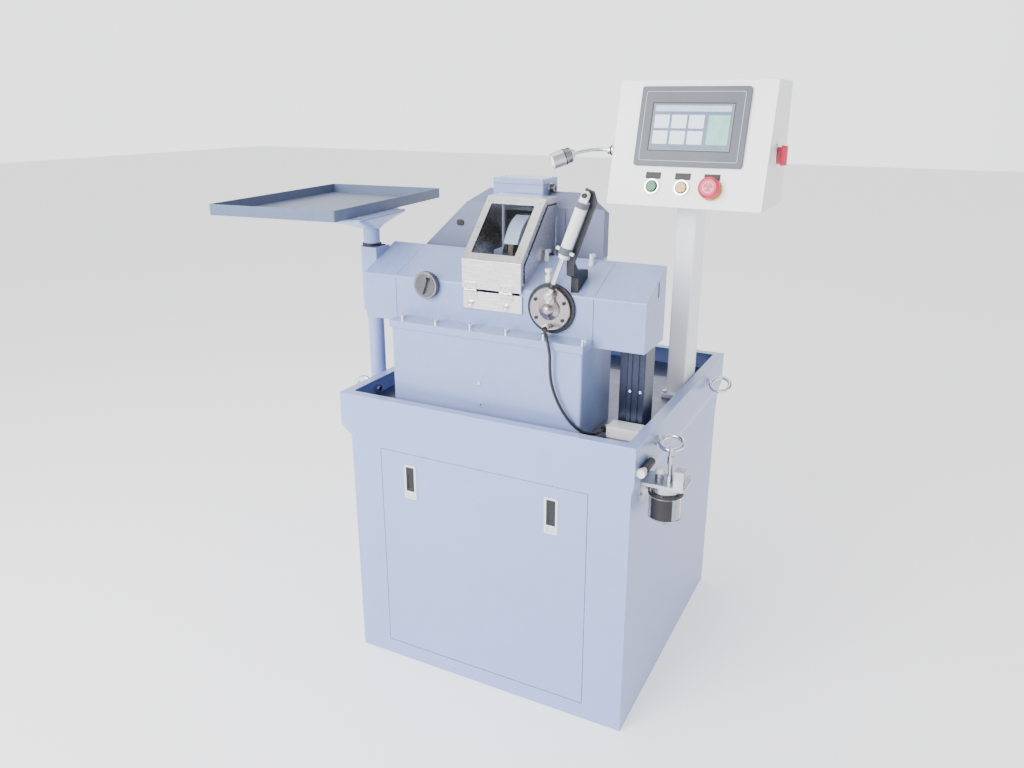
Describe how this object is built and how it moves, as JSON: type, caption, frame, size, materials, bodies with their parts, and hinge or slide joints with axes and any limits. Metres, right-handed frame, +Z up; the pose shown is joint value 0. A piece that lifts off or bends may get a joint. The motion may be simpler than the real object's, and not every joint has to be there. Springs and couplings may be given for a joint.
{
  "type": "lens centering machine",
  "caption": "Bench-cabinet lens centering machine with a coolant trough, a guarded edge grinding wheel, an air-clamped lens spindle, a swing tray and a raised control box.",
  "frame": {"origin": "on the floor under the middle of the cabinet's base", "axes": "+Z up, +X to the operator's right, -Y towards the operator, who faces the door"},
  "size_m": [1.0937, 0.6441, 1.189],
  "materials": {
    "cabinet_paint": "semi-gloss light blue-grey paint",
    "trough_steel": "satin stainless sheet",
    "bed_steel": "ground steel",
    "machine_paint": "semi-gloss pale grey paint",
    "box_paint": "semi-gloss white paint",
    "guard_paint": "semi-gloss blue-grey paint",
    "cap_steel": "ground steel",
    "hood_steel": "brushed stainless",
    "bright_steel": "polished",
    "dark_steel": "blackened steel",
    "zinc": "bright zinc",
    "cast_paint": "hammered dark grey paint",
    "grey_plastic": "fine texture grey",
    "white_plastic": "smooth white",
    "tank_plastic": "moulded pale grey",
    "dark_screen": "plain dark display",
    "clear_window": "clear sheet",
    "lens_glass": "polished lens",
    "bowl_clear": "clear moulded bowl",
    "green_plastic": "moulded green",
    "yellow_plastic": "moulded yellow",
    "red_plastic": "moulded red",
    "hose_black": "smooth black tube",
    "abrasive": "bonded abrasive",
    "aluminium": "satin anodised"
  },
  "bodies": {
    "machine": {"cabinet_shell": "cabinet_paint", "trough_frame": "trough_steel", "bed_plate": "bed_steel", "coolant_unit": "tank_plastic", "electrics_plate": "zinc", "eye_bolts": "bright_steel", "pedestal_box": "machine_paint", "pedestal_cap": "cap_steel", "cap_screws": "bright_steel", "beam": "machine_paint", "beam_left_end": "machine_paint", "beam_right_end": "machine_paint", "column": "dark_steel", "tray_post": "box_paint", "hood_plate": "bright_steel", "guard_cheeks": "hood_steel", "clamp_flange": "hood_steel", "cylinder_strut": "grey_plastic", "air_fittings": "white_plastic", "air_hose": "hose_black", "control_post": "box_paint", "control_box": "box_paint", "control_box_back": "box_paint", "screen_bezel": "grey_plastic", "screen": "dark_screen", "button_bezels": "bright_steel", "lamp": "aluminium", "filter_head": "zinc", "filter_bowl": "bowl_clear", "lens_gearmotor": "cast_paint", "wheel_column": "machine_paint"},
    "door": {"door_panel": "cabinet_paint", "latch_frames": "bright_steel"},
    "left_lever": {"latch_lever_left": "bright_steel"},
    "right_lever": {"latch_lever_right": "bright_steel"},
    "left_release": {"latch_button_left": "bright_steel"},
    "right_release": {"latch_button_right": "bright_steel"},
    "hood": {"hood_frame": "hood_steel", "hood_window": "clear_window"},
    "adjuster": {"adjuster_knob": "dark_steel"},
    "left_chuck": {"left_spindle": "cap_steel", "lens_blank": "lens_glass"},
    "right_chuck": {"right_spindle": "cap_steel"},
    "quill_slide": {"quill": "cap_steel"},
    "crank": {"crank_hub": "bright_steel"},
    "barrel": {"cylinder_barrel": "white_plastic"},
    "rod": {"piston_rod": "bright_steel"},
    "tray_swing": {"tray_bracket": "box_paint", "tray": "hood_steel"},
    "wheel_head": {"wheel_carriage": "machine_paint", "wheel_guard": "guard_paint", "terminal_box": "guard_paint", "wheel_motor": "cast_paint"},
    "wheel": {"wheel_spindle": "cap_steel", "grinding_wheel": "abrasive"},
    "green": {"green_button": "green_plastic"},
    "yellow": {"yellow_button": "yellow_plastic"},
    "stop": {"emergency_stop": "red_plastic"},
    "switch": {"main_switch": "red_plastic"},
    "air_valve": {"valve_sleeve": "dark_steel"}
  },
  "joints": [
    {"name": "door_hinge", "type": "hinge", "parent": "machine", "child": "door", "pos_m": [-0.0045, -0.2965, 0.0392], "axis": [1, 0, 0], "range_deg": [0, 30]},
    {"name": "left_lever_pivot", "type": "hinge", "parent": "door", "child": "left_lever", "pos_m": [-0.16, -0.2984, 0.4535], "axis": [-1, 0, 0], "range_deg": [0, 35], "stiffness_Nm_per_rad": 0.01},
    {"name": "right_lever_pivot", "type": "hinge", "parent": "door", "child": "right_lever", "pos_m": [0.1485, -0.2984, 0.4535], "axis": [-1, 0, 0], "range_deg": [0, 35], "stiffness_Nm_per_rad": 0.01},
    {"name": "left_release_press", "type": "slide", "parent": "door", "child": "left_release", "axis": [0, 1, 0], "range_m": [0, 0.003], "stiffness_N_per_m": 400},
    {"name": "right_release_press", "type": "slide", "parent": "door", "child": "right_release", "axis": [0, 1, 0], "range_m": [0, 0.003], "stiffness_N_per_m": 400},
    {"name": "hood_hinge", "type": "hinge", "parent": "machine", "child": "hood", "pos_m": [-0.0215, -0.212, 0.81], "axis": [1, 0, 0], "range_deg": [0, 110]},
    {"name": "adjuster_turn", "type": "hinge", "parent": "machine", "child": "adjuster", "pos_m": [-0.165, -0.2043, 0.809], "axis": [0, -1, 0], "range_deg": [-135, 135]},
    {"name": "left_chuck_spin", "type": "hinge", "parent": "machine", "child": "left_chuck", "pos_m": [-0.1, -0.15, 0.812], "axis": [1, 0, 0], "continuous": true},
    {"name": "crank_turn", "type": "hinge", "parent": "machine", "child": "crank", "pos_m": [0.101, -0.2163, 0.792], "axis": [0, -1, 0], "range_deg": [0, 40]},
    {"name": "quill_feed", "type": "slide", "parent": "machine", "child": "quill_slide", "axis": [-1, 0, 0], "range_m": [0, 0.00698]},
    {"name": "right_chuck_spin", "type": "hinge", "parent": "quill_slide", "child": "right_chuck", "pos_m": [0.1, -0.15, 0.812], "axis": [1, 0, 0], "continuous": true},
    {"name": "barrel_swing", "type": "hinge", "parent": "machine", "child": "barrel", "pos_m": [0.171, -0.228, 1], "axis": [0, 1, 0], "range_deg": [0, 4.43]},
    {"name": "rod_stroke", "type": "slide", "parent": "barrel", "child": "rod", "axis": [-0.3432, 0, -0.9393], "range_m": [0, 0.01045]},
    {"name": "tray_turn", "type": "hinge", "parent": "machine", "child": "tray_swing", "pos_m": [-0.345, -0.138, 0.898], "axis": [0, 0, 1], "range_deg": [-10, 90]},
    {"name": "head_feed", "type": "slide", "parent": "machine", "child": "wheel_head", "axis": [0, 1, 0], "range_m": [0, 0.025]},
    {"name": "wheel_spin", "type": "hinge", "parent": "wheel_head", "child": "wheel", "pos_m": [-0.021, -0.052, 0.852], "axis": [1, 0, 0], "continuous": true},
    {"name": "green_press", "type": "slide", "parent": "machine", "child": "green", "axis": [0, 0.9618, -0.2737], "range_m": [0, 0.003], "stiffness_N_per_m": 400},
    {"name": "yellow_press", "type": "slide", "parent": "machine", "child": "yellow", "axis": [0, 0.9618, -0.2737], "range_m": [0, 0.003], "stiffness_N_per_m": 400},
    {"name": "stop_press", "type": "slide", "parent": "machine", "child": "stop", "axis": [0, 0.9618, -0.2737], "range_m": [0, 0.003], "stiffness_N_per_m": 600},
    {"name": "switch_turn", "type": "hinge", "parent": "machine", "child": "switch", "pos_m": [0.418, 0.106, 1.054], "axis": [1, 0, 0], "range_deg": [0, 90]},
    {"name": "valve_shift", "type": "slide", "parent": "machine", "child": "air_valve", "axis": [0, -1, 0], "range_m": [0, 0.009]}
  ],
  "couplings": [
    {"joint": "right_chuck_spin", "follows": "left_chuck_spin", "ratio": 1},
    {"joint": "crank_turn", "follows": "quill_feed", "rad_per_m": 100},
    {"joint": "barrel_swing", "follows": "quill_feed", "rad_per_m": 11.035},
    {"joint": "rod_stroke", "follows": "quill_feed", "ratio": 1.491}
  ]
}
